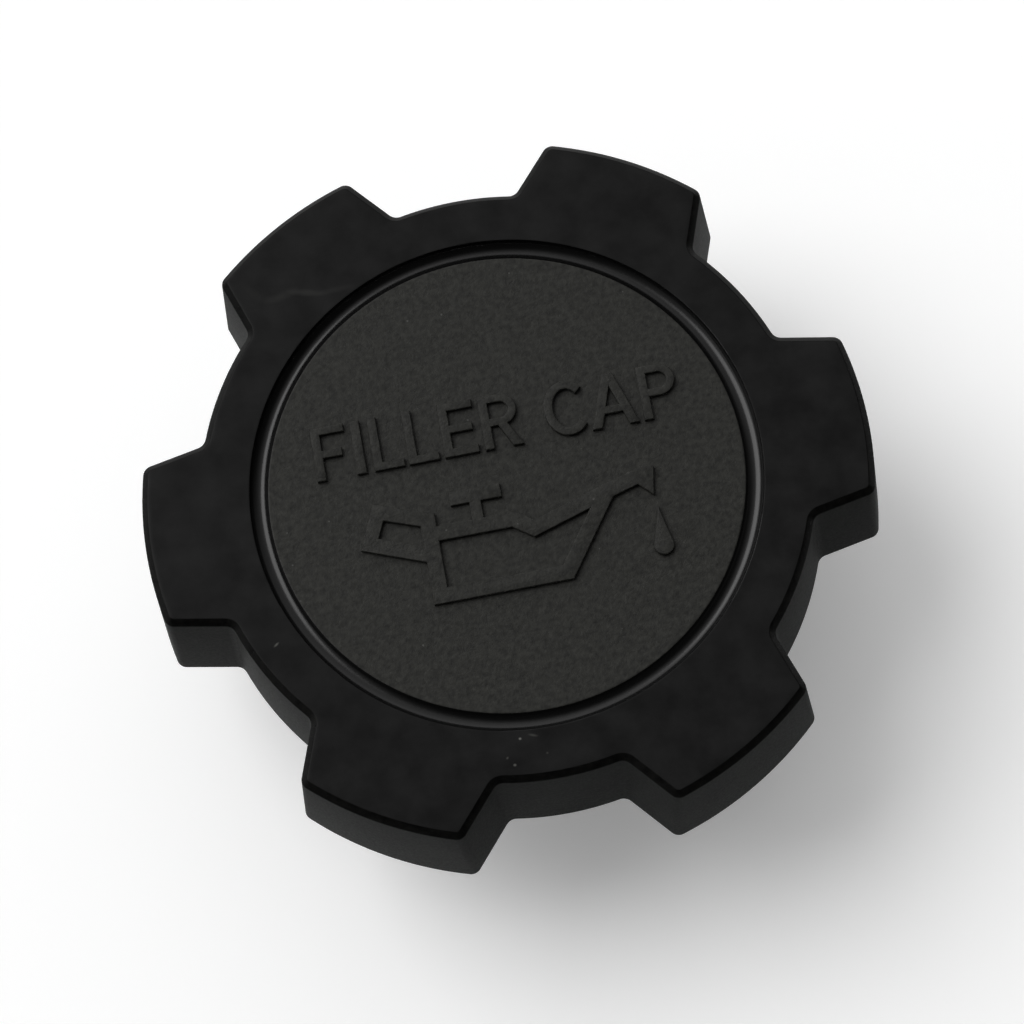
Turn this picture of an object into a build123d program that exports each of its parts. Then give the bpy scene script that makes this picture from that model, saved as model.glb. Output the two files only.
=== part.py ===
from build123d import *
from math import asin, cos, hypot, pi, radians, sin, tan
import os

# Oil filler cap: a black moulded body, with a lobed grip head on a hollow threaded shank, and its seal.
# Millimetres and degrees. The origin is the centre of the sealing plane, where the seal's underside meets
# the rim of the filler neck. +Z runs up the cap's axis, and +X along the legend, through a lobe's middle.

# Grip head from outside. Its widths are taken at the lower rim, from which the side walls draft inwards.
HEAD_WIDTH = 64.0
VALLEY_WIDTH = 54.1
LOBE_COUNT = 6
LOBE_TIP_WIDTH = 15.8
LOBE_ROOT_WIDTH = 17.9
LOBE_CORNER_RADIUS = 0.9
HEAD_HEIGHT = 10.8
SIDE_DRAFT = 4.9
TOP_EDGE_BEVEL = 0.5

# Legend disc, set a little below the ring of lobes, and the round groove between them, in flats
DISC_RECESS = 0.4
GROOVE_DIAMETER = 42.0
GROOVE_WIDTH = 1.6
GROOVE_DEPTH = 0.85
GROOVE_FLATS = 5

# Underside of the head: skirt, top plate, and ribs that keep clear of the filler neck
SKIRT_WALL = 2.2
PLATE_THICKNESS = 2.8
RIB_THICKNESS = 1.4
RIB_RIM_GAP = 1.2
RIB_SEAL_GAP = 0.6
RIB_STEP_RUN = 1.4
NECK_DIAMETER = 47.6
NECK_CLEARANCE = 0.6

# Seal, and the land under the plate that it seats on
SEAL_WIDTH = 4.25
SEAL_THICKNESS = 2.2
SEAL_BORE_CLEARANCE = 0.15
LAND_MARGIN = 0.6
LAND_HEIGHT = 0.8

# Shank: one coarse right-hand thread, then a plain pilot that enters the neck first
THREAD_DIAMETER = 37.0
THREAD_DEPTH = 1.3
THREAD_PITCH = 4.0
THREAD_TURNS = 2.0
THREAD_CREST = 1.0
THREAD_FLANK_ANGLE = 30.0
THREAD_START = 3.6
THREAD_RUNOUT = 0.4
PILOT_STEP = 0.3
PILOT_LENGTH = 3.6
PILOT_CHAMFER = 0.8
SHANK_BORE = 29.2
BORE_CHAMFER = 0.4

# How far a shape runs into the one that it is fused with, or past the face that it cuts
SINK = 0.5

seat_z = SEAL_THICKNESS
plate_z = seat_z + LAND_HEIGHT
top_z = plate_z + PLATE_THICKNESS
rim_z = top_z - HEAD_HEIGHT
thread_root = THREAD_DIAMETER / 2 - THREAD_DEPTH
seal_bore = thread_root + SEAL_BORE_CLEARANCE
seal_radius = seal_bore + SEAL_WIDTH
land_radius = seal_radius + LAND_MARGIN
thread_base = THREAD_CREST + 2 * THREAD_DEPTH * tan(radians(THREAD_FLANK_ANGLE))
thread_low_z = -THREAD_START - THREAD_TURNS * THREAD_PITCH
pilot_top_z = thread_low_z - thread_base / 2 - THREAD_RUNOUT
pilot_radius = thread_root - PILOT_STEP
shank_end_z = pilot_top_z - PILOT_STEP - PILOT_LENGTH


def polar(radius, angle):
    return radius * cos(angle), radius * sin(angle)


def lobed_outline():
    """The head's outline at the rim: concentric tip and valley arcs joined by straight flanks."""
    tip, valley = HEAD_WIDTH / 2, VALLEY_WIDTH / 2
    tip_angle = asin(LOBE_TIP_WIDTH / 2 / tip)
    root_angle = asin(LOBE_ROOT_WIDTH / 2 / valley)
    pitch = 2 * pi / LOBE_COUNT
    edges = []
    for lobe in range(LOBE_COUNT):
        here = lobe * pitch
        after = here + pitch
        tip_end, root_start = polar(tip, here + tip_angle), polar(valley, here + root_angle)
        root_end, tip_start = polar(valley, after - root_angle), polar(tip, after - tip_angle)
        edges.append(ThreePointArc(polar(tip, here - tip_angle), polar(tip, here), tip_end))
        edges.append(Line(tip_end, root_start))
        edges.append(ThreePointArc(root_start, polar(valley, here + pitch / 2), root_end))
        edges.append(Line(root_end, tip_start))
    return make_face(edges)


def drafted_head(outline):
    """The solid head: drafted walls, rounded lobe corners and a bevelled top edge."""
    head = Pos(0, 0, rim_z) * extrude(outline, amount=HEAD_HEIGHT, taper=SIDE_DRAFT)
    lobe_middle = (HEAD_WIDTH + VALLEY_WIDTH) / 4 - HEAD_HEIGHT / 2 * tan(radians(SIDE_DRAFT))
    upright = [edge for edge in head.edges() if abs((edge @ 0).Z - (edge @ 1).Z) > HEAD_HEIGHT / 2]
    tip_corners = [edge for edge in upright if hypot((edge @ 0.5).X, (edge @ 0.5).Y) > lobe_middle]
    head = fillet(tip_corners, LOBE_CORNER_RADIUS)
    top_face = head.faces().sort_by(Axis.Z)[-1]
    return chamfer(top_face.outer_wire().edges(), TOP_EDGE_BEVEL)


def rib(angle, in_lobe):
    """One radial rib from the land to the skirt. In a lobe it deepens once it is past the filler neck."""
    inner, outer = land_radius - SINK, HEAD_WIDTH / 2
    neck = NECK_DIAMETER / 2 + NECK_CLEARANCE
    shallow_z, deep_z = RIB_SEAL_GAP, rim_z + RIB_RIM_GAP
    section = [(inner, plate_z + SINK), (inner, shallow_z)]
    if in_lobe:
        section += [(neck, shallow_z), (neck + RIB_STEP_RUN, deep_z), (outer, deep_z)]
    else:
        section += [(outer, shallow_z)]
    section += [(outer, plate_z + SINK)]
    web = extrude(Plane.XZ * make_face(Polyline(*section, close=True)), amount=RIB_THICKNESS / 2, both=True)
    return Rot(0, 0, angle) * web


def head_core(outline):
    """What the mould's core leaves open under the head, with the ribs standing in it."""
    inside = offset(outline, amount=-SKIRT_WALL, kind=Kind.INTERSECTION)
    core = Pos(0, 0, rim_z) * extrude(inside, amount=HEAD_HEIGHT - PLATE_THICKNESS, taper=SIDE_DRAFT)
    pitch = 360 / LOBE_COUNT
    for lobe in range(LOBE_COUNT):
        core -= rib(lobe * pitch, in_lobe=True)
        core -= rib((lobe + 0.5) * pitch, in_lobe=False)
    return core


def shank():
    """The seal's land and the hollow shank below it, turned about the axis."""
    bore = SHANK_BORE / 2
    section = Polyline(
        (bore, plate_z + SINK),
        (land_radius, plate_z + SINK),
        (land_radius, seat_z),
        (thread_root, seat_z),
        (thread_root, pilot_top_z),
        (pilot_radius, pilot_top_z - PILOT_STEP),
        (pilot_radius, shank_end_z + PILOT_CHAMFER),
        (pilot_radius - PILOT_CHAMFER, shank_end_z),
        (bore + BORE_CHAMFER, shank_end_z),
        (bore, shank_end_z + BORE_CHAMFER),
        close=True,
    )
    return revolve(Plane.XZ * make_face(section), axis=Axis.Z)


def thread():
    """The thread's ridge: a trapezoid carried along a helix, with its foot sunk into the shank."""
    path = Helix(THREAD_PITCH, THREAD_PITCH * THREAD_TURNS, thread_root, center=(0, 0, thread_low_z))
    start = path @ 0
    across = Plane(origin=start, x_dir=Vector(start.X, start.Y, 0), z_dir=path % 0)
    half_crest = THREAD_CREST / 2
    half_foot = thread_base / 2 + SINK * tan(radians(THREAD_FLANK_ANGLE))
    ridge = Polyline(
        (-SINK, -half_foot),
        (THREAD_DEPTH, -half_crest),
        (THREAD_DEPTH, half_crest),
        (-SINK, half_foot),
        close=True,
    )
    return sweep(across * make_face(ridge), path=path, is_frenet=True)


def legend_recess():
    """What the top loses: the legend disc's shallow recess, and the groove in flats up to the ring."""
    middle, half_width = GROOVE_DIAMETER / 2, GROOVE_WIDTH / 2
    section = [(0, top_z + SINK), (0, top_z - DISC_RECESS)]
    for flat in range(GROOVE_FLATS + 1):
        inwards, down = polar(1, pi * flat / GROOVE_FLATS)
        edge_z = top_z - DISC_RECESS * (1 + inwards) / 2
        section.append((middle - half_width * inwards, edge_z - (GROOVE_DEPTH - DISC_RECESS / 2) * down))
    section.append((middle + half_width, top_z + SINK))
    return revolve(Plane.XZ * make_face(Polyline(*section, close=True)), axis=Axis.Z)


def cap_body():
    outline = lobed_outline()
    return drafted_head(outline) - head_core(outline) + shank() + thread() - legend_recess()


def seal_ring():
    """A flat ring of plain rectangular section."""
    section = Polyline(
        (seal_bore, 0),
        (seal_radius, 0),
        (seal_radius, SEAL_THICKNESS),
        (seal_bore, SEAL_THICKNESS),
        close=True,
    )
    return revolve(Plane.XZ * make_face(section), axis=Axis.Z)


os.makedirs("parts", exist_ok=True)
export_step(cap_body(), "parts/cap_body.step")
export_step(seal_ring(), "parts/seal_ring.step")
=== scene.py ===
from math import acos, atan2, cos, pi, radians, sin, sqrt, tan
import bmesh
import bpy
import numpy as np
from mathutils import Matrix, Vector


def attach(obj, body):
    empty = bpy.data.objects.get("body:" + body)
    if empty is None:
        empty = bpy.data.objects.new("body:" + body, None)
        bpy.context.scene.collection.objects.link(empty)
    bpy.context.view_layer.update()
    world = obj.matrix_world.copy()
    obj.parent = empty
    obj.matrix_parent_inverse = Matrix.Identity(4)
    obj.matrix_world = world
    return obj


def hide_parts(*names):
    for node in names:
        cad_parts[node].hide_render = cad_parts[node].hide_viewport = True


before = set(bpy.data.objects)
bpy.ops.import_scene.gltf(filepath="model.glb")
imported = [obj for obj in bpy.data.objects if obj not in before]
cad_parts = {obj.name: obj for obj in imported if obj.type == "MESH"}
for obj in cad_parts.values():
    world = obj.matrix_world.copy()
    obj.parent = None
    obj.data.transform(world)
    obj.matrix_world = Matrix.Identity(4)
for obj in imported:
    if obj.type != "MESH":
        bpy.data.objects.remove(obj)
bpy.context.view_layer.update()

# Cap body: one injection moulding in black glass-filled nylon. The cavity half of the mould makes the lobed
# head and the legend disc, the core half leaves the underside hollow and ribbed, and a sleeve that unscrews
# out of the mould makes the thread on the shank. Lengths are in millimetres, and meshes are made in metres.
MM = 0.001
LOBES = 6
TIP_RADIUS = 32.0
VALLEY_RADIUS = 27.05
HALF_TIP = 7.9
HALF_ROOT = 8.95
TIP_CORNER = 0.9
ROOT_CORNER = 1.0
LEAST_CORNER = 0.15
SIDE_DRAFT = tan(radians(4.9))
TOP_Z = 5.8
TOP_BEVEL = 0.5
TOP_EDGE = 0.15
RIM_Z = -5.0
RIM_EDGE = 0.15
RIM_INNER_EDGE = 0.3
DISC_Z = 5.4
DISC_EDGE = 0.2
RING_EDGE = 0.05
GROOVE_RADIUS = 21.02
GROOVE_ROUND = 0.82
GROOVE_DEPTH = 0.85
PLATE_Z = 3.0
SKIRT_WALL = 2.2
CORE_FILLET = 0.5
CORE_TIP_CORNER = 0.4
CORE_ROOT_CORNER = 0.8
SEAT_Z = 2.2
SEAT_EDGE = 0.1
LAND_RADIUS = 22.2
LAND_FILLET = 0.3
THREAD_ROOT = 17.2
PILOT_RADIUS = 16.9
PILOT_TOP_Z = -13.2506
PILOT_STEP = 0.3
PILOT_CHAMFER = 0.8
SHANK_END_Z = -17.1505
SHANK_EDGE = 0.2
BORE_RADIUS = 14.6
BORE_CHAMFER = 0.4


def lobe_outline(inset, tip_corner, root_corner):
    """One lobe's outline in plan, from valley to valley, at an inset from the outline of the lower rim."""
    tip = np.array([sqrt(TIP_RADIUS**2 - HALF_TIP**2), HALF_TIP])
    root = np.array([sqrt(VALLEY_RADIUS**2 - HALF_ROOT**2), HALF_ROOT])
    along = (tip - root) / np.linalg.norm(tip - root)
    out = np.array([-along[1], along[0]])
    flank = out @ tip - inset

    def corner_centre(reach, offset):
        return out * (flank + offset) + along * sqrt(reach**2 - (flank + offset) ** 2)

    def arc(centre, radius, start, end, steps):
        turn = np.linspace(start, end, steps + 1)[1:]
        return np.column_stack([centre[0] + radius * np.cos(turn), centre[1] + radius * np.sin(turn)])

    tip_centre = corner_centre(TIP_RADIUS - inset - tip_corner, -tip_corner)
    root_centre = corner_centre(VALLEY_RADIUS - inset + root_corner, root_corner)
    tip_turn, root_turn = atan2(*tip_centre[::-1]), atan2(*root_centre[::-1])
    flank_turn = atan2(out[1], out[0])
    flank_end = root_centre - root_corner * out
    half = [np.array([[TIP_RADIUS - inset, 0.0]])]
    half.append(arc((0, 0), TIP_RADIUS - inset, 0, tip_turn, 9))
    half.append(arc(tip_centre, tip_corner, tip_turn, flank_turn, 8))
    half.append(np.linspace(tip_centre + tip_corner * out, flank_end, 6)[1:])
    half.append(arc(root_centre, root_corner, flank_turn - pi, root_turn - pi, 7))
    half.append(arc((0, 0), VALLEY_RADIUS - inset, root_turn, pi / LOBES, 6))
    half = np.vstack(half)
    return np.vstack([half[:0:-1] * (1, -1), half])


def rounded(corners, steps):
    """A section's line through (distance, height, radius) corners, each turned by an arc of its radius."""
    line = []
    for before, (x, z, radius), after in zip([None, *corners], corners, [*corners[1:], None]):
        here = np.array([x, z])
        if radius == 0:
            line.append(here)
            continue
        back, on = np.array(before[:2]) - here, np.array(after[:2]) - here
        back, on = back / np.linalg.norm(back), on / np.linalg.norm(on)
        half_angle = acos(back @ on) / 2
        centre = here + (back + on) / np.linalg.norm(back + on) * radius / sin(half_angle)
        first, last = (here + side * radius / tan(half_angle) - centre for side in (back, on))
        start = atan2(first[1], first[0])
        sweep = (atan2(last[1], last[0]) - start + pi) % (2 * pi) - pi
        turns = start + sweep * np.linspace(0, 1, steps + 1)
        line += [centre + radius * np.array([cos(turn), sin(turn)]) for turn in turns]
    return line


def sheet_mesh(name, rows):
    """A sheet through rows of points, each row running once across it. A row of one point is a pole."""
    points = np.vstack(rows) * MM
    starts = np.cumsum([0] + [len(row) for row in rows])
    faces = []
    for upper, lower in zip(range(len(rows) - 1), range(1, len(rows))):
        u, v = starts[upper], starts[lower]
        for k in range(max(len(rows[upper]), len(rows[lower])) - 1):
            u_step, v_step = min(k, len(rows[upper]) - 1), min(k, len(rows[lower]) - 1)
            face = [u + u_step, v + v_step]
            if len(rows[lower]) > 1:
                face.append(v + v_step + 1)
            if len(rows[upper]) > 1:
                face.append(u + u_step + 1)
            faces.append([int(corner) for corner in face])
    mesh = bpy.data.meshes.new(name)
    mesh.from_pydata(points.tolist(), [], faces)
    return mesh


def new_object(name, data):
    """An object in the scene, at the origin."""
    made = bpy.data.objects.new(name, data)
    bpy.context.collection.objects.link(made)
    return made


def wall_inset(z):
    """How far the drafted wall stands inside the rim's outline at a height."""
    return (z - RIM_Z) * SIDE_DRAFT


def round_row(turns, radius, z):
    """A row of points at one radius and height."""
    return np.column_stack([radius * np.cos(turns), radius * np.sin(turns), np.full(len(turns), z)])


def lobed_row(inset, z, tip_corner, root_corner):
    """A row of points along one lobe's outline."""
    plan = lobe_outline(inset, tip_corner, root_corner)
    return np.column_stack([plan, np.full(len(plan), z)])


# The section of one lobe starts at the middle of the disc, crosses the groove to the ring, turns down
# the drafted wall to the rim and up inside the skirt, then follows the seal's land, the shank and its
# bore to the closed end. A corner with no radius is a plain point, and on a flat it only keeps the faces
# small.
edge_inset = wall_inset(TOP_Z)
core_inset = SKIRT_WALL + wall_inset(PLATE_Z)
plan_turns = np.array([atan2(y, x) for x, y in lobe_outline(edge_inset, TIP_CORNER, ROOT_CORNER)])
groove_z = TOP_Z - GROOVE_DEPTH + GROOVE_ROUND
groove_start = -acos((groove_z - DISC_Z) / GROOVE_ROUND)
disc_radius = GROOVE_RADIUS + GROOVE_ROUND * sin(groove_start)
ring_radius = GROOVE_RADIUS + GROOVE_ROUND
top = [(r, DISC_Z, 0) for r in (5, 10, 15, 18.5, 20.1)] + [(disc_radius, DISC_Z, DISC_EDGE)]
# The groove's arc starts just past the disc's rounded edge, and ends just short of the ring's.
for turn in np.linspace(groove_start + 0.2, radians(85), 15):
    top.append((GROOVE_RADIUS + GROOVE_ROUND * sin(turn), groove_z - GROOVE_ROUND * cos(turn), 0))
top += [(ring_radius, TOP_Z, RING_EDGE), (22.0, TOP_Z, 0)]
skin = [np.array([[0, 0, DISC_Z]])] + [round_row(plan_turns, r, z) for r, z in rounded(top, 4)]
outside = [
    (3.2, TOP_Z, 0),
    (1.8, TOP_Z, 0),
    (edge_inset + TOP_BEVEL, TOP_Z, TOP_EDGE),
    (wall_inset(TOP_Z - TOP_BEVEL), TOP_Z - TOP_BEVEL, TOP_EDGE),
    (0, RIM_Z, RIM_EDGE),
    (1.1, RIM_Z, 0),
]
# On the bevel and the flat top, the rows have tighter tips and wider roots than the wall below them.
for inset, z in rounded(outside, 5):
    past_wall = max(0.0, inset - wall_inset(z)) if z > 0 else 0.0
    skin.append(lobed_row(inset, z, max(TIP_CORNER - past_wall, LEAST_CORNER), ROOT_CORNER + past_wall))
inside = [
    (1.3, RIM_Z, 0),
    (SKIRT_WALL, RIM_Z, RIM_INNER_EDGE),
    (core_inset, PLATE_Z, CORE_FILLET),
    (3.4, PLATE_Z, 0),
]
skin += [lobed_row(inset, z, CORE_TIP_CORNER, CORE_ROOT_CORNER) for inset, z in rounded(inside, 4)]
shank = [
    (23.0, PLATE_Z, 0),
    (LAND_RADIUS, PLATE_Z, LAND_FILLET),
    (LAND_RADIUS, SEAT_Z, SEAT_EDGE),
    (THREAD_ROOT, SEAT_Z, SHANK_EDGE),
    (THREAD_ROOT, PILOT_TOP_Z, SHANK_EDGE),
    (PILOT_RADIUS, PILOT_TOP_Z - PILOT_STEP, SHANK_EDGE),
    (PILOT_RADIUS, SHANK_END_Z + PILOT_CHAMFER, SHANK_EDGE),
    (PILOT_RADIUS - PILOT_CHAMFER, SHANK_END_Z, SHANK_EDGE),
    (BORE_RADIUS + BORE_CHAMFER, SHANK_END_Z, SHANK_EDGE),
    (BORE_RADIUS, SHANK_END_Z + BORE_CHAMFER, SHANK_EDGE),
    (BORE_RADIUS, PLATE_Z, CORE_FILLET),
    (11.0, PLATE_Z, 0),
    (5.0, PLATE_Z, 0),
]
skin += [round_row(plan_turns, r, z) for r, z in rounded(shank, 5)] + [np.array([[0, 0, PLATE_Z]])]
body = new_object("moulded_body", sheet_mesh("moulded_body", skin))

# Two ribs stand under each lobe's share of the head: a deep one in the lobe, which steps round the filler
# neck, and a shallow one in the valley.
RIB_THICKNESS = 1.4
RIB_TOP_Z = PLATE_Z + 0.5
RIB_LOW_Z = 0.6
DEEP_RIB_LOW_Z = -3.8
RIB_START = 21.7
NECK_SIDE = 24.4
STEP_END = 25.8
LOBE_RIB_END = 30.4
VALLEY_RIB_END = 25.4
by_the_land = [(RIB_START, RIB_TOP_Z), (RIB_START, RIB_LOW_Z)]
lobe_rib = by_the_land + [(NECK_SIDE, RIB_LOW_Z), (STEP_END, DEEP_RIB_LOW_Z)]
lobe_rib += [(LOBE_RIB_END, DEEP_RIB_LOW_Z), (LOBE_RIB_END, RIB_TOP_Z)]
valley_rib = by_the_land + [(VALLEY_RIB_END, RIB_LOW_Z), (VALLEY_RIB_END, RIB_TOP_Z)]
rib_points, rib_faces = [], []
for turn, side in ((0, lobe_rib), (pi / LOBES, valley_rib)):
    first, count = len(rib_points), len(side)
    for across in (-RIB_THICKNESS / 2, RIB_THICKNESS / 2):
        for r, z in side:
            rib_points.append((r * cos(turn) - across * sin(turn), r * sin(turn) + across * cos(turn), z))
    rib_faces.append([first + k for k in range(count)])
    rib_faces.append([first + count + k for k in reversed(range(count))])
    for k in range(count):
        nxt = (k + 1) % count
        rib_faces.append([first + nxt, first + k, first + count + k, first + count + nxt])
rib_mesh = bpy.data.meshes.new("ribs_of_one_lobe")
rib_mesh.from_pydata((np.array(rib_points) * MM).tolist(), [], rib_faces)
ribs = new_object("ribs_of_one_lobe", rib_mesh)

# The raised legend: plain sans-serif capitals of one stroke width, over the common oil-can sign. H is the
# letters' height, and MID and E_MID are the lower edges of their middle bars.
H = 4.85
MID = 2.01
E_MID = MID + 0.1
STEM = 0.8
BAR = 0.72
BOWL_RADIUS = 1.42
EYE_RADIUS = 0.7
LEGEND_START = (-15.75, 2.85)


def arc_points(centre, radii, start, end, steps=14):
    """Points on an oval arc from start to end, in degrees."""
    turns = np.radians(np.linspace(start, end, steps + 1))
    return [(centre[0] + radii[0] * cos(turn), centre[1] + radii[1] * sin(turn)) for turn in turns]


def bowl_points(radius, start):
    """The half-round bowl that P and R share, from a start angle up to the top line."""
    return arc_points((1.78, H - BOWL_RADIUS), (radius, radius), start, 90)


letter_f = [(0, 0), (STEM, 0), (STEM, MID), (2.5, MID), (2.5, MID + BAR), (STEM, MID + BAR)]
letter_f += [(STEM, H - BAR), (2.9, H - BAR), (2.9, H), (0, H)]
letter_i = [(0, 0), (0.85, 0), (0.85, H), (0, H)]
letter_l = [(0, 0), (2.65, 0), (2.65, BAR), (STEM, BAR), (STEM, H), (0, H)]
letter_e = [(0, 0), (3.0, 0), (3.0, BAR), (STEM, BAR), (STEM, E_MID), (2.75, E_MID)]
letter_e += [(2.75, E_MID + BAR), (STEM, E_MID + BAR), (STEM, H - BAR), (3.0, H - BAR), (3.0, H), (0, H)]
letter_p = [(0, 0), (STEM, 0), (STEM, MID), *bowl_points(BOWL_RADIUS, -90), (0, H)]
letter_r = [(0, 0), (STEM, 0), (STEM, MID), (1.45, MID), (2.42, 0), (3.35, 0)]
letter_r += [*bowl_points(BOWL_RADIUS, -70), (0, H)]
eye = [(STEM, MID + BAR), *bowl_points(EYE_RADIUS, -90), (STEM, H - BAR)]
letter_c = arc_points((2.0, H / 2), (2.0, 2.475), 42, 318, 30)
letter_c += arc_points((2.0, H / 2), (1.2, 1.725), 318, 42, 30)
letter_a = [(0, 0), (0.86, 0), (1.26, 1.2), (2.84, 1.2), (3.24, 0), (4.1, 0), (2.5, H), (1.6, H)]
eye_of_a = [(1.49, 1.9), (2.61, 1.9), (2.05, 3.6)]
# Each letter is its width, the gap after it and its closed outlines, which start at the baseline.
legend_letters = [
    (2.9, 0.55, [letter_f]),
    (0.85, 0.65, [letter_i]),
    (2.65, 0.35, [letter_l]),
    (2.65, 0.45, [letter_l]),
    (3.0, 0.5, [letter_e]),
    (3.35, 2.1, [letter_r, eye]),
    (3.55, 0.25, [letter_c]),
    (4.1, 0.4, [letter_a, eye_of_a]),
    (3.2, 0, [letter_p, eye]),
]
raised_outlines = []
pen_x, pen_y = LEGEND_START
for width, gap, outlines in legend_letters:
    raised_outlines += [[(pen_x + x, pen_y + y) for x, y in outline] for outline in outlines]
    pen_x += width + gap

# The oil-can sign is one line of even width: a can with a spout, a handle and a filler knob, and a drop.
can = [(-13.1, -3.9), (-11.5, 0.0), (-6.45, -1.81), (-6.45, -2.95), (-3.4, -2.95), (-3.4, -1.45)]
can += [(-5.0, -1.45), (-5.0, -0.2), (-0.6, -0.2), (-0.6, -1.45), (-2.4, -1.45), (-2.4, -2.95)]
can += [(0.3, -2.95), (1.755, -4.01), (7.76, -2.15), (11.9, -0.95), (12.5, -1.3), (12.05, -3.8)]
can += [(10.9, -2.65), (8.65, -3.3), (4.1, -9.75), (-7.8, -9.75), (-7.8, -5.95)]
handle_hole = [(-11.45, -3.1), (-10.8, -1.65), (-7.8, -2.75), (-7.8, -4.52)]
can_hole = [(-6.45, -8.4), (-6.45, -4.3), (-0.15, -4.3), (1.5, -5.5), (6.5, -3.96), (3.4, -8.4)]
drop = [(12.2, -4.85), *arc_points((12.05, -8.3), (0.85, 0.85), 160, 380, 16)]
raised_outlines += [can, handle_hole, can_hole, drop]


def plain_mesh(thing):
    """What the object's curve or modifiers make, as a mesh of its own."""
    return bpy.data.meshes.new_from_object(thing.evaluated_get(bpy.context.evaluated_depsgraph_get()))


# The legend stands up to the ring's height, and is sunk a little into the disc that it is fused with.
LEGEND_EDGE = 0.12
LEGEND_SINK = 0.2
LEGEND_WELD = 0.001
legend_thickness = TOP_Z - DISC_Z + LEGEND_SINK
legend_curve = bpy.data.curves.new("raised_legend", "CURVE")
legend_curve.dimensions = "2D"
legend_curve.fill_mode = "BOTH"
legend_curve.extrude = (legend_thickness / 2 - LEGEND_EDGE) * MM
legend_curve.bevel_depth = LEGEND_EDGE * MM
legend_curve.bevel_resolution = 2
legend_curve.offset = -LEGEND_EDGE * MM
for outline in raised_outlines:
    spline = legend_curve.splines.new("POLY")
    spline.points.add(len(outline) - 1)
    for point, (x, y) in zip(spline.points, outline):
        point.co = (x * MM, y * MM, 0, 1)
    spline.use_cyclic_u = True
legend_maker = new_object("raised_legend", legend_curve)
legend_mesh = plain_mesh(legend_maker)
legend_mesh.transform(Matrix.Translation((0, 0, (TOP_Z - legend_thickness / 2) * MM)))
welded = bmesh.new()
welded.from_mesh(legend_mesh)
bmesh.ops.remove_doubles(welded, verts=welded.verts, dist=LEGEND_WELD * MM)
bmesh.ops.recalc_face_normals(welded, faces=welded.faces)
welded.to_mesh(legend_mesh)
welded.free()
bpy.data.objects.remove(legend_maker)
legend = new_object("raised_legend", legend_mesh)


def add(tree, kind, inputs=None, **settings):
    """Adds a node, with its settings, and fills its inputs with values or with links from other nodes."""
    made = tree.nodes.new(kind)
    for name, value in settings.items():
        setattr(made, name, value)
    for key, value in (inputs or {}).items():
        if isinstance(value, bpy.types.NodeSocket):
            tree.links.new(value, made.inputs[key])
        else:
            made.inputs[key].default_value = value
    return made


def linear(hex_colour):
    """An sRGB hex colour as the linear colour that shaders take."""
    parts = [int(hex_colour[k : k + 2], 16) / 255 for k in (1, 3, 5)]
    return (*(p / 12.92 if p <= 0.04045 else ((p + 0.055) / 1.055) ** 2.4 for p in parts), 1.0)


def empty_shading(owner):
    """The node tree of a material or of the world, emptied."""
    owner.use_nodes = True
    owner.node_tree.nodes.clear()
    return owner.node_tree


# Glass-filled nylon, moulded: near black through and through, so most of its greys are reflections, and
# what sets its zones apart is the mould's own finish, except the groove's and the edge's darker tints, which
# are painted shade. The grain of spark-eroded steel is about 0.08 mm wide, which is under a pixel, so it is
# drawn at 0.22 mm. Noise values seldom leave NOISE_SPAN.
GRAIN_WIDTH = 0.22
NOISE_SPAN = {"From Min": 0.3, "From Max": 0.7}
NYLON_IOR = 1.53
SPECK_SPACING = 3.2
SPECK_RADIUS = 0.09
SPECK_TINT = "#424240"
MARK_TINT = "#6a6a66"


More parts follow.
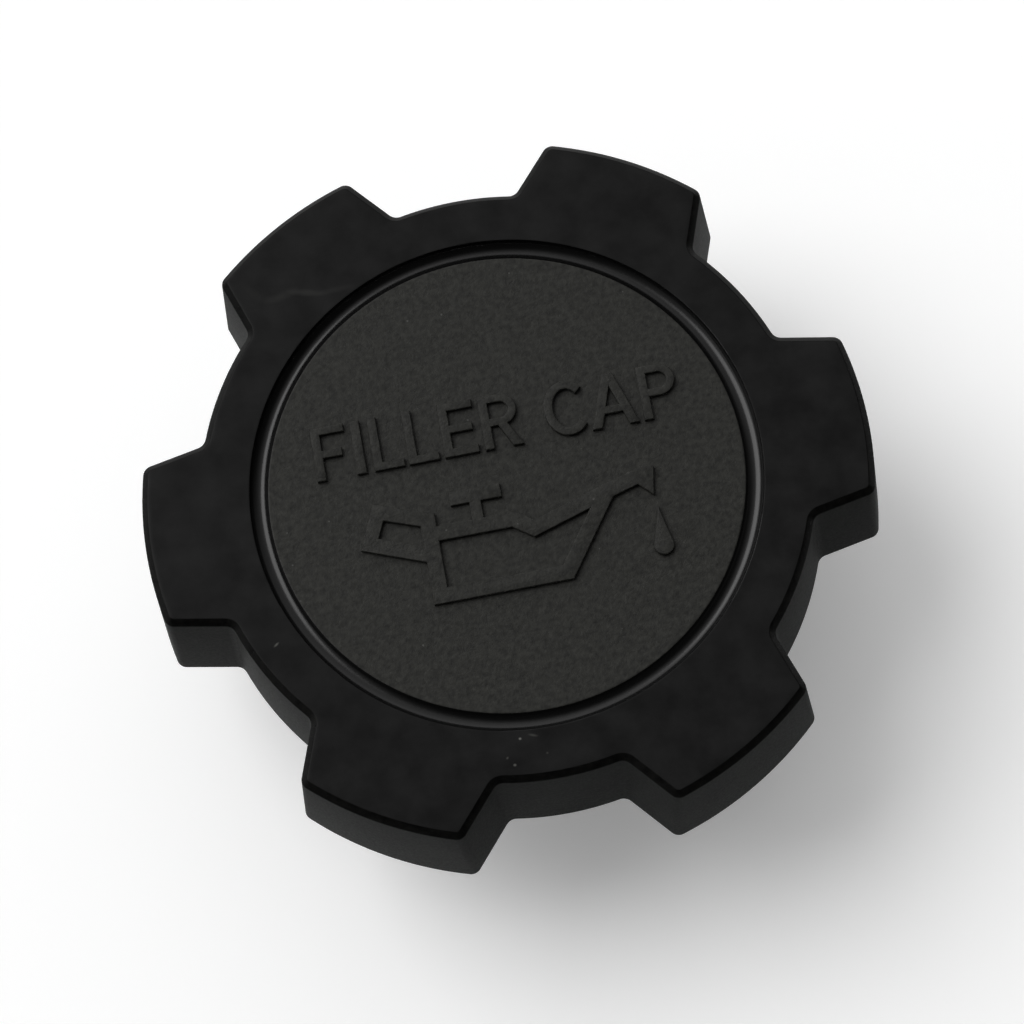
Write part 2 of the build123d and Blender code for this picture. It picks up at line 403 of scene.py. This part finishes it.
def moulded_nylon(name, tints, cloud_width, roughness, grain_depth, specular, speck_share=0.0, marks=()):
    """One finish of the moulding: grain that scatters the shine, a cloudy tint, dust specks and marks."""
    finish = bpy.data.materials.new(name)
    shade = empty_shading(finish)
    place = add(shade, "ShaderNodeTexCoord").outputs["Object"]
    grain = {"Vector": place, "Scale": 1 / (GRAIN_WIDTH * MM), "Detail": 2.0, "Roughness": 0.6}
    grain = add(shade, "ShaderNodeTexNoise", grain).outputs["Fac"]
    gloss = {"Value": grain, **NOISE_SPAN, "To Min": roughness[0], "To Max": roughness[1]}
    gloss = add(shade, "ShaderNodeMapRange", gloss).outputs[0]
    relief = add(shade, "ShaderNodeBump", {"Height": grain, "Distance": grain_depth * MM}).outputs[0]
    clouds = {"Vector": place, "Scale": 1 / (cloud_width * MM), "Detail": 3.0, "Roughness": 0.55}
    clouds = add(shade, "ShaderNodeTexNoise", clouds).outputs["Fac"]
    clouds = add(shade, "ShaderNodeMapRange", {"Value": clouds, **NOISE_SPAN}).outputs[0]
    colour = {"Factor": clouds, 6: linear(tints[0]), 7: linear(tints[1])}
    colour = add(shade, "ShaderNodeMix", colour, data_type="RGBA").outputs[2]
    if speck_share:
        cells = {"Vector": place, "Scale": 1 / (SPECK_SPACING * MM)}
        cells = add(shade, "ShaderNodeTexVoronoi", cells, voronoi_dimensions="2D").outputs
        chance = add(shade, "ShaderNodeSeparateColor", {0: cells["Color"]}).outputs
        reach = {0: chance["Green"], 1: SPECK_RADIUS / SPECK_SPACING}
        reach = add(shade, "ShaderNodeMath", reach, operation="MULTIPLY").outputs[0]
        near = {0: cells["Distance"], 1: reach}
        near = add(shade, "ShaderNodeMath", near, operation="LESS_THAN").outputs[0]
        picked = {0: chance["Red"], 1: speck_share}
        picked = add(shade, "ShaderNodeMath", picked, operation="LESS_THAN").outputs[0]
        speck = add(shade, "ShaderNodeMath", {0: near, 1: picked}, operation="MULTIPLY").outputs[0]
        colour = {"Factor": speck, 6: colour, 7: linear(SPECK_TINT)}
        colour = add(shade, "ShaderNodeMix", colour, data_type="RGBA").outputs[2]
    for x, y, half_length, half_width, turn, strength in marks:
        patch = {"Vector": place, "Location": (x * MM, y * MM, 0), "Rotation": (0, 0, radians(turn))}
        patch["Scale"] = (half_length * MM, half_width * MM, 1)
        patch = add(shade, "ShaderNodeMapping", patch, vector_type="TEXTURE").outputs[0]
        away = add(shade, "ShaderNodeVectorMath", {0: patch}, operation="LENGTH").outputs["Value"]
        fade = {"Value": away, "From Min": 0.3, "From Max": 1.0, "To Min": strength, "To Max": 0.0}
        fade = add(shade, "ShaderNodeMapRange", fade).outputs[0]
        colour = {"Factor": fade, 6: colour, 7: linear(MARK_TINT)}
        colour = add(shade, "ShaderNodeMix", colour, data_type="RGBA").outputs[2]
    surface = {"Base Color": colour, "Roughness": gloss, "Normal": relief, "IOR": NYLON_IOR}
    surface = add(shade, "ShaderNodeBsdfPrincipled", {**surface, "Specular IOR Level": specular})
    add(shade, "ShaderNodeOutputMaterial", {"Surface": surface.outputs[0]})
    return finish


# The disc and its legend come from spark-eroded steel: matt, with a fine grain that scatters enough light
# to look grey, and a few specks of dust.
disc_finish = moulded_nylon(
    "black_nylon_spark_eroded",
    tints=("#1b1b19", "#2d2d2a"),
    cloud_width=0.5,
    roughness=(0.5, 0.64),
    grain_depth=0.04,
    specular=0.15,
    speck_share=0.3,
)
# The ring's flat top comes from stoned steel, and is satin and darker. Hands left faint smudges on it, a
# wavy scuff on one lobe, a nick, and dust by a valley. A mark is the place of its middle, its half-length,
# its half-width, its turn in degrees and its strength.
ring_marks = (
    (-18.7, 21.1, 1.4, 0.5, -45, 0.025),
    (-16.8, 20.1, 1.5, 0.5, 0, 0.035),
    (-15.6, 20.4, 1.3, 0.5, 16, 0.04),
    (-13.9, 20.1, 2.0, 0.4, -14, 0.07),
    (-11.4, 19.9, 1.8, 0.35, 3, 0.035),
    (-21.4, -10.6, 0.34, 0.12, 36, 0.5),
    (-2.8, -22.4, 0.15, 0.13, 0, 0.9),
    (-3.6, -24.5, 0.17, 0.15, 0, 0.5),
    (-4.1, -23.8, 0.16, 0.12, 40, 0.25),
    (-1.7, -22.3, 0.5, 0.14, -20, 0.2),
    (-0.8, -24.0, 0.13, 0.12, 0, 0.2),
)
ring_finish = moulded_nylon(
    "black_nylon_stoned",
    tints=("#101010", "#1c1c1c"),
    cloud_width=2.6,
    roughness=(0.21, 0.23),
    grain_depth=0.0,
    specular=0.08,
    marks=ring_marks,
)
# The groove was turned and polished in the mould, and shows the lamp as a bright line. Its tints are
# painted darker than the ring's, as shade in the groove, so its side away from the lamp stays black.
groove_finish = moulded_nylon(
    "black_nylon_polished_painted_shade",
    tints=("#070707", "#0b0b0b"),
    cloud_width=9.0,
    roughness=(0.2, 0.26),
    grain_depth=0.002,
    specular=0.3,
)
# Hands rub the bevelled top edge smooth, and its tints are painted darker than the ring's, as shade, so
# it is nearly black wherever it faces away from the lamp.
edge_finish = moulded_nylon(
    "black_nylon_rubbed_painted_shade",
    tints=("#060606", "#111110"),
    cloud_width=0.7,
    roughness=(0.2, 0.28),
    grain_depth=0.003,
    specular=0.045,
)
# The walls and the underside drag on the steel as they leave the mould, which dulls them.
wall_finish = moulded_nylon(
    "black_nylon_drawn",
    tints=("#121312", "#181a18"),
    cloud_width=4.0,
    roughness=(0.54, 0.66),
    grain_depth=0.01,
    specular=0.036,
)

SOCKET_KINDS = {int: "Int", float: "Float", bpy.types.Object: "Object", bpy.types.Material: "Material"}
COPY_WELD = 0.002


def new_tree(name, values):
    """A geometry tree with a geometry in and out, and an input for each named value."""
    tree = bpy.data.node_groups.new(name, "GeometryNodeTree")
    tree.interface.new_socket("Geometry", in_out="INPUT", socket_type="NodeSocketGeometry")
    for title, value in values.items():
        kind = SOCKET_KINDS[type(value)]
        tree.interface.new_socket(title, in_out="INPUT", socket_type=f"NodeSocket{kind}")
    tree.interface.new_socket("Geometry", in_out="OUTPUT", socket_type="NodeSocketGeometry")
    return tree


def made_mesh(thing, tree, values):
    """Puts the tree on the object with these values, and makes its result the object's plain mesh."""
    modifier = thing.modifiers.new(tree.name, "NODES")
    modifier.node_group = tree
    for title, value in values.items():
        modifier[tree.interface.items_tree[title].identifier] = value
    result = plain_mesh(thing)
    thing.modifiers.remove(modifier)
    thing.data = result


def round_the_axis(tree, geometry, count):
    """Repeats a geometry about the cap's axis and welds the copies where they meet."""
    step = add(tree, "ShaderNodeMath", {0: 2 * pi, 1: count}, operation="DIVIDE")
    place = add(tree, "GeometryNodeInputIndex")
    turn = add(tree, "ShaderNodeMath", {0: place.outputs[0], 1: step.outputs[0]}, operation="MULTIPLY")
    spin = add(tree, "ShaderNodeCombineXYZ", {"Z": turn.outputs[0]})
    points = add(tree, "GeometryNodePoints", {"Count": count})
    spin_and_place = {"Points": points.outputs[0], "Instance": geometry, "Rotation": spin.outputs[0]}
    copies = add(tree, "GeometryNodeInstanceOnPoints", spin_and_place)
    real = add(tree, "GeometryNodeRealizeInstances", {"Geometry": copies.outputs[0]})
    weld = {"Geometry": real.outputs[0], "Distance": COPY_WELD * MM}
    return add(tree, "GeometryNodeMergeByDistance", weld).outputs[0]


# The body's tree repeats the lobe's skin and ribs round the axis, winds the thread's ridge up the shank, and
# fuses them with the legend into one closed moulding.
THREAD_PITCH = 4.0
THREAD_TURNS = 2.0
THREAD_LOW_Z = -11.6
THREAD_CREST_RADIUS = 18.5
STEPS_A_TURN = 96
RIDGE_SINK = 0.5
RIDGE_CREST = 1.0
RIDGE_FLANK = tan(radians(30))
ridge_height = THREAD_CREST_RADIUS - THREAD_ROOT + RIDGE_SINK
body_sizes = {
    "Lobes": LOBES,
    "Ribs": ribs,
    "Legend": legend,
    "Thread Pitch": THREAD_PITCH * MM,
    "Thread Turns": THREAD_TURNS,
    "Thread Start": THREAD_LOW_Z * MM,
    "Ridge Middle": (THREAD_CREST_RADIUS - ridge_height / 2) * MM,
    "Ridge Height": ridge_height * MM,
    "Ridge Foot": (RIDGE_CREST + 2 * ridge_height * RIDGE_FLANK) * MM,
    "Ridge Crest": RIDGE_CREST * MM,
    "Wall Finish": wall_finish,
    "Edge Finish": edge_finish,
    "Ring Finish": ring_finish,
    "Groove Finish": groove_finish,
    "Disc Finish": disc_finish,
}
body_tree = new_tree("moulded body", body_sizes)
given = add(body_tree, "NodeGroupInput").outputs
shell = round_the_axis(body_tree, given["Geometry"], given["Lobes"])
rib_source = add(body_tree, "GeometryNodeObjectInfo", {"Object": given["Ribs"]})
all_ribs = round_the_axis(body_tree, rib_source.outputs["Geometry"], given["Lobes"])
legend_source = add(body_tree, "GeometryNodeObjectInfo", {"Object": given["Legend"]})
rise = {0: given["Thread Pitch"], 1: given["Thread Turns"]}
rise = add(body_tree, "ShaderNodeMath", rise, operation="MULTIPLY")
spiral_sizes = {
    "Resolution": STEPS_A_TURN,
    "Rotations": given["Thread Turns"],
    "Start Radius": given["Ridge Middle"],
    "End Radius": given["Ridge Middle"],
    "Height": rise.outputs[0],
    "Reverse": True,
}
spiral = add(body_tree, "GeometryNodeCurveSpiral", spiral_sizes)
start = add(body_tree, "ShaderNodeCombineXYZ", {"Z": given["Thread Start"]})
path = {"Geometry": spiral.outputs[0], "Translation": start.outputs[0]}
path = add(body_tree, "GeometryNodeTransform", path)
upright = add(body_tree, "GeometryNodeSetCurveNormal", {"Curve": path.outputs[0]}, mode="Z_UP")
ridge_sizes = {
    "Height": given["Ridge Height"],
    "Bottom Width": given["Ridge Foot"],
    "Top Width": given["Ridge Crest"],
    "Offset": 0.0,
}
ridge = add(body_tree, "GeometryNodeCurvePrimitiveQuadrilateral", ridge_sizes, mode="TRAPEZOID")
outwards = {"Geometry": ridge.outputs[0], "Rotation": (0, 0, -pi / 2)}
outwards = add(body_tree, "GeometryNodeTransform", outwards)
thread_parts = {"Curve": upright.outputs[0], "Profile Curve": outwards.outputs[0], "Fill Caps": True}
thread = add(body_tree, "GeometryNodeCurveToMesh", thread_parts)
fused = add(body_tree, "GeometryNodeMeshBoolean", operation="UNION", solver="MANIFOLD")
for part in (shell, all_ribs, thread.outputs[0], legend_source.outputs["Geometry"]):
    body_tree.links.new(part, fused.inputs["Mesh 2"])
whole = add(body_tree, "GeometryNodeRealizeInstances", {"Geometry": fused.outputs["Mesh"]}).outputs[0]
finished = {"Geometry": whole, "Material": given["Wall Finish"]}
finished = add(body_tree, "GeometryNodeSetMaterial", finished)

# Each finish covers what lies above a height and within a radius, and the next one is laid over it.
BEVEL_REACH = 0.42
groove_low_z = TOP_Z - GROOVE_DEPTH - 0.05
zones = (
    ("Edge Finish", TOP_Z - BEVEL_REACH, TIP_RADIUS),
    ("Ring Finish", TOP_Z - 0.002, TIP_RADIUS),
    ("Groove Finish", groove_low_z, ring_radius + 0.02),
    ("Disc Finish", groove_low_z, disc_radius - 0.03),
)
face_place = add(body_tree, "GeometryNodeInputPosition").outputs[0]
face_height = add(body_tree, "ShaderNodeSeparateXYZ", {0: face_place}).outputs["Z"]
face_plan = {0: face_place, 1: (1, 1, 0)}
face_plan = add(body_tree, "ShaderNodeVectorMath", face_plan, operation="MULTIPLY").outputs[0]
face_radius = add(body_tree, "ShaderNodeVectorMath", {0: face_plan}, operation="LENGTH").outputs["Value"]
for title, lowest, widest in zones:
    above = {0: face_height, 1: lowest * MM}
    above = add(body_tree, "FunctionNodeCompare", above, operation="GREATER_THAN")
    within = {0: face_radius, 1: widest * MM}
    within = add(body_tree, "FunctionNodeCompare", within, operation="LESS_THAN")
    both = {0: above.outputs[0], 1: within.outputs[0]}
    both = add(body_tree, "FunctionNodeBooleanMath", both, operation="AND")
    zone = {"Geometry": finished.outputs[0], "Selection": both.outputs[0], "Material": given[title]}
    finished = add(body_tree, "GeometryNodeSetMaterial", zone)
add(body_tree, "NodeGroupOutput", {"Geometry": finished.outputs[0]})
made_mesh(body, body_tree, body_sizes)
for helper in (ribs, legend):
    bpy.data.objects.remove(helper)
body.data.shade_smooth()
body.data.set_sharp_from_angle(angle=radians(25))
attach(body, "root")
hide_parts("cap_body")

# Seal: a flat ring moulded in black nitrile rubber. It is stretched over the thread and sits loose on the
# shank, against the land under the head, where the filler neck's rim presses into it.
SEAL_BORE = 17.35
SEAL_WIDTH = 4.25
SEAL_THICKNESS = 2.2
SEAL_EDGE = 0.25
SEAL_STEPS = 144

# Nitrile rubber, moulded: dull black, with a faint pale bloom in patches, where its wax has come to the
# surface.
BLOOM_WIDTH = 2.5
RUBBER_IOR = 1.52
rubber = bpy.data.materials.new("black_nitrile_rubber_moulded")
shade = empty_shading(rubber)
place = add(shade, "ShaderNodeTexCoord").outputs["Object"]
bloom = {"Vector": place, "Scale": 1 / (BLOOM_WIDTH * MM), "Detail": 4.0}
bloom = add(shade, "ShaderNodeTexNoise", bloom).outputs["Fac"]
rubber_gloss = {"Value": bloom, **NOISE_SPAN, "To Min": 0.5, "To Max": 0.68}
rubber_gloss = add(shade, "ShaderNodeMapRange", rubber_gloss).outputs[0]
rubber_tint = {"Factor": bloom, 6: linear("#121212"), 7: linear("#1e1d1c")}
rubber_tint = add(shade, "ShaderNodeMix", rubber_tint, data_type="RGBA").outputs[2]
rubber_shader = {"Base Color": rubber_tint, "Roughness": rubber_gloss, "IOR": RUBBER_IOR}
rubber_shader = add(shade, "ShaderNodeBsdfPrincipled", rubber_shader)
add(shade, "ShaderNodeOutputMaterial", {"Surface": rubber_shader.outputs[0]})

# The seal's tree carries a rectangle with rounded corners round a circle.
seal_sizes = {
    "Middle Radius": (SEAL_BORE + SEAL_WIDTH / 2) * MM,
    "Width": SEAL_WIDTH * MM,
    "Thickness": SEAL_THICKNESS * MM,
    "Edge Radius": SEAL_EDGE * MM,
    "Material": rubber,
}
seal_tree = new_tree("seal ring", seal_sizes)
given = add(seal_tree, "NodeGroupInput").outputs
line = {"Resolution": SEAL_STEPS, "Radius": given["Middle Radius"]}
line = add(seal_tree, "GeometryNodeCurvePrimitiveCircle", line)
section = {"Width": given["Width"], "Height": given["Thickness"]}
section = add(seal_tree, "GeometryNodeCurvePrimitiveQuadrilateral", section, mode="RECTANGLE")
soft_section = {"Curve": section.outputs[0], "Count": 4, "Radius": given["Edge Radius"]}
soft_section = add(seal_tree, "GeometryNodeFilletCurve", soft_section, mode="POLY")
ring = {"Curve": line.outputs[0], "Profile Curve": soft_section.outputs[0]}
ring = add(seal_tree, "GeometryNodeCurveToMesh", ring)
half_up = add(seal_tree, "ShaderNodeMath", {0: given["Thickness"], 1: 0.5}, operation="MULTIPLY")
lift = add(seal_tree, "ShaderNodeCombineXYZ", {"Z": half_up.outputs[0]})
lifted = {"Geometry": ring.outputs[0], "Translation": lift.outputs[0]}
lifted = add(seal_tree, "GeometryNodeTransform", lifted)
whole = add(seal_tree, "GeometryNodeRealizeInstances", {"Geometry": lifted.outputs[0]})
finished = {"Geometry": whole.outputs[0], "Material": given["Material"]}
finished = add(seal_tree, "GeometryNodeSetMaterial", finished)
add(seal_tree, "NodeGroupOutput", {"Geometry": finished.outputs[0]})
seal = new_object("rubber_seal", bpy.data.meshes.new("rubber_seal"))
made_mesh(seal, seal_tree, seal_sizes)
seal.data.shade_smooth()
seal.data.set_sharp_from_angle(angle=radians(40))
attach(seal, "root")
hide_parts("seal_ring")

# Floor: a sheet of white paper that the cap stands on, on the end of its shank. It curves up far off on
# every side, as a backdrop, and keeps the cap's soft shadow.
FLAT_RADIUS = 1500.0
COVE_RADIUS = 150.0
FLOOR_STEPS = 96
COVE_STEPS = 12
round_turns = np.linspace(0, 2 * pi, FLOOR_STEPS + 1)
floor_rows = [np.array([[0, 0, SHANK_END_Z]])]
for turn in np.linspace(0, pi / 2, COVE_STEPS + 1):
    cove_z = SHANK_END_Z + COVE_RADIUS * (1 - cos(turn))
    floor_rows.append(round_row(round_turns, FLAT_RADIUS + COVE_RADIUS * sin(turn), cove_z))
floor = new_object("floor", sheet_mesh("floor", floor_rows))
floor.data.shade_smooth()

# White paper: matt. What the camera or a reflection sees of it is lifted a little, so it reads as white.
PAPER_LIFT = 0.22
paper = bpy.data.materials.new("white_paper_matt")
shade = empty_shading(paper)
ray = add(shade, "ShaderNodeLightPath").outputs
seen = {0: ray["Is Camera Ray"], 1: ray["Is Glossy Ray"]}
seen = add(shade, "ShaderNodeMath", seen, operation="MAXIMUM")
seen = {0: seen.outputs[0], 1: ray["Is Transmission Ray"]}
seen = add(shade, "ShaderNodeMath", seen, operation="MAXIMUM")
glow = add(shade, "ShaderNodeMath", {0: seen.outputs[0], 1: PAPER_LIFT}, operation="MULTIPLY")
matt = add(shade, "ShaderNodeBsdfDiffuse", {"Color": linear("#f8f8f8")})
lift_up = add(shade, "ShaderNodeEmission", {"Strength": glow.outputs[0]})
both = add(shade, "ShaderNodeAddShader", {0: matt.outputs[0], 1: lift_up.outputs[0]})
add(shade, "ShaderNodeOutputMaterial", {"Surface": both.outputs[0]})
floor.data.materials.append(paper)

# Light: a broad soft lamp from the left and behind, in a studio that is pale on that side and dim in
# front. The lamp's width gives the groove an even bright line, and the cap a soft shadow.
KEY_AZIMUTH, KEY_ELEVATION = radians(146), radians(46)
KEY_STRENGTH = 1.7
KEY_WIDTH = radians(50)
PALE_SIDE = (-0.4, 0.917, 0.0)
STUDIO_DIM, STUDIO_PALE = 0.05, 1.3
key = new_object("soft_key", bpy.data.lights.new("soft_key", "SUN"))
key.data.energy = KEY_STRENGTH
key.data.angle = KEY_WIDTH
key_level = cos(KEY_ELEVATION)
towards_key = (cos(KEY_AZIMUTH) * key_level, sin(KEY_AZIMUTH) * key_level, sin(KEY_ELEVATION))
key.rotation_euler = Vector(towards_key).to_track_quat("Z", "Y").to_euler()
studio = bpy.data.worlds.new("studio")
shade = empty_shading(studio)
direction = add(shade, "ShaderNodeTexCoord").outputs["Generated"]
facing = {0: direction, 1: PALE_SIDE}
facing = add(shade, "ShaderNodeVectorMath", facing, operation="DOT_PRODUCT").outputs["Value"]
level = {"Value": facing, "From Min": -0.4, "From Max": 1.0, "To Min": STUDIO_DIM, "To Max": STUDIO_PALE}
level = add(shade, "ShaderNodeMapRange", level, interpolation_type="SMOOTHSTEP").outputs[0]
sky = add(shade, "ShaderNodeBackground", {"Color": (1, 1, 1, 1), "Strength": level})
add(shade, "ShaderNodeOutputWorld", {"Surface": sky.outputs[0]})
bpy.context.scene.world = studio

# Camera: above the cap and a little in front of it, rolled so that the legend climbs to the right. It aims
# past the middle of the head's top by AIM_RIGHT and AIM_UP, in the picture's own directions.
CAMERA_ELEVATION, CAMERA_AZIMUTH, CAMERA_ROLL = radians(71.52), radians(0.68), radians(11.38)
CAMERA_DISTANCE = 252.1
AIM_RIGHT, AIM_UP = 0.536, -2.805
camera_level = cos(CAMERA_ELEVATION)
back = (sin(CAMERA_AZIMUTH) * camera_level, -cos(CAMERA_AZIMUTH) * camera_level, sin(CAMERA_ELEVATION))
back = Vector(back)
head_top = Vector((0, 0, TOP_Z))
eye_point = head_top + back * CAMERA_DISTANCE
level_right = Vector((0, 0, 1)).cross(back).normalized()
level_up = back.cross(level_right)
right = level_right * cos(CAMERA_ROLL) - level_up * sin(CAMERA_ROLL)
up = level_up * cos(CAMERA_ROLL) + level_right * sin(CAMERA_ROLL)
back = (eye_point - (head_top + right * AIM_RIGHT + up * AIM_UP)).normalized()
right = up.cross(back).normalized()
up = back.cross(right)
camera = new_object("camera", bpy.data.cameras.new("camera"))
camera.matrix_world = Matrix.Translation(eye_point * MM) @ Matrix((right, up, back)).transposed().to_4x4()
camera.data.lens = 104.7
camera.data.sensor_width = 36.0
camera.data.clip_start = 0.01
bpy.context.scene.camera = camera
bpy.context.scene.view_settings.view_transform = "Standard"
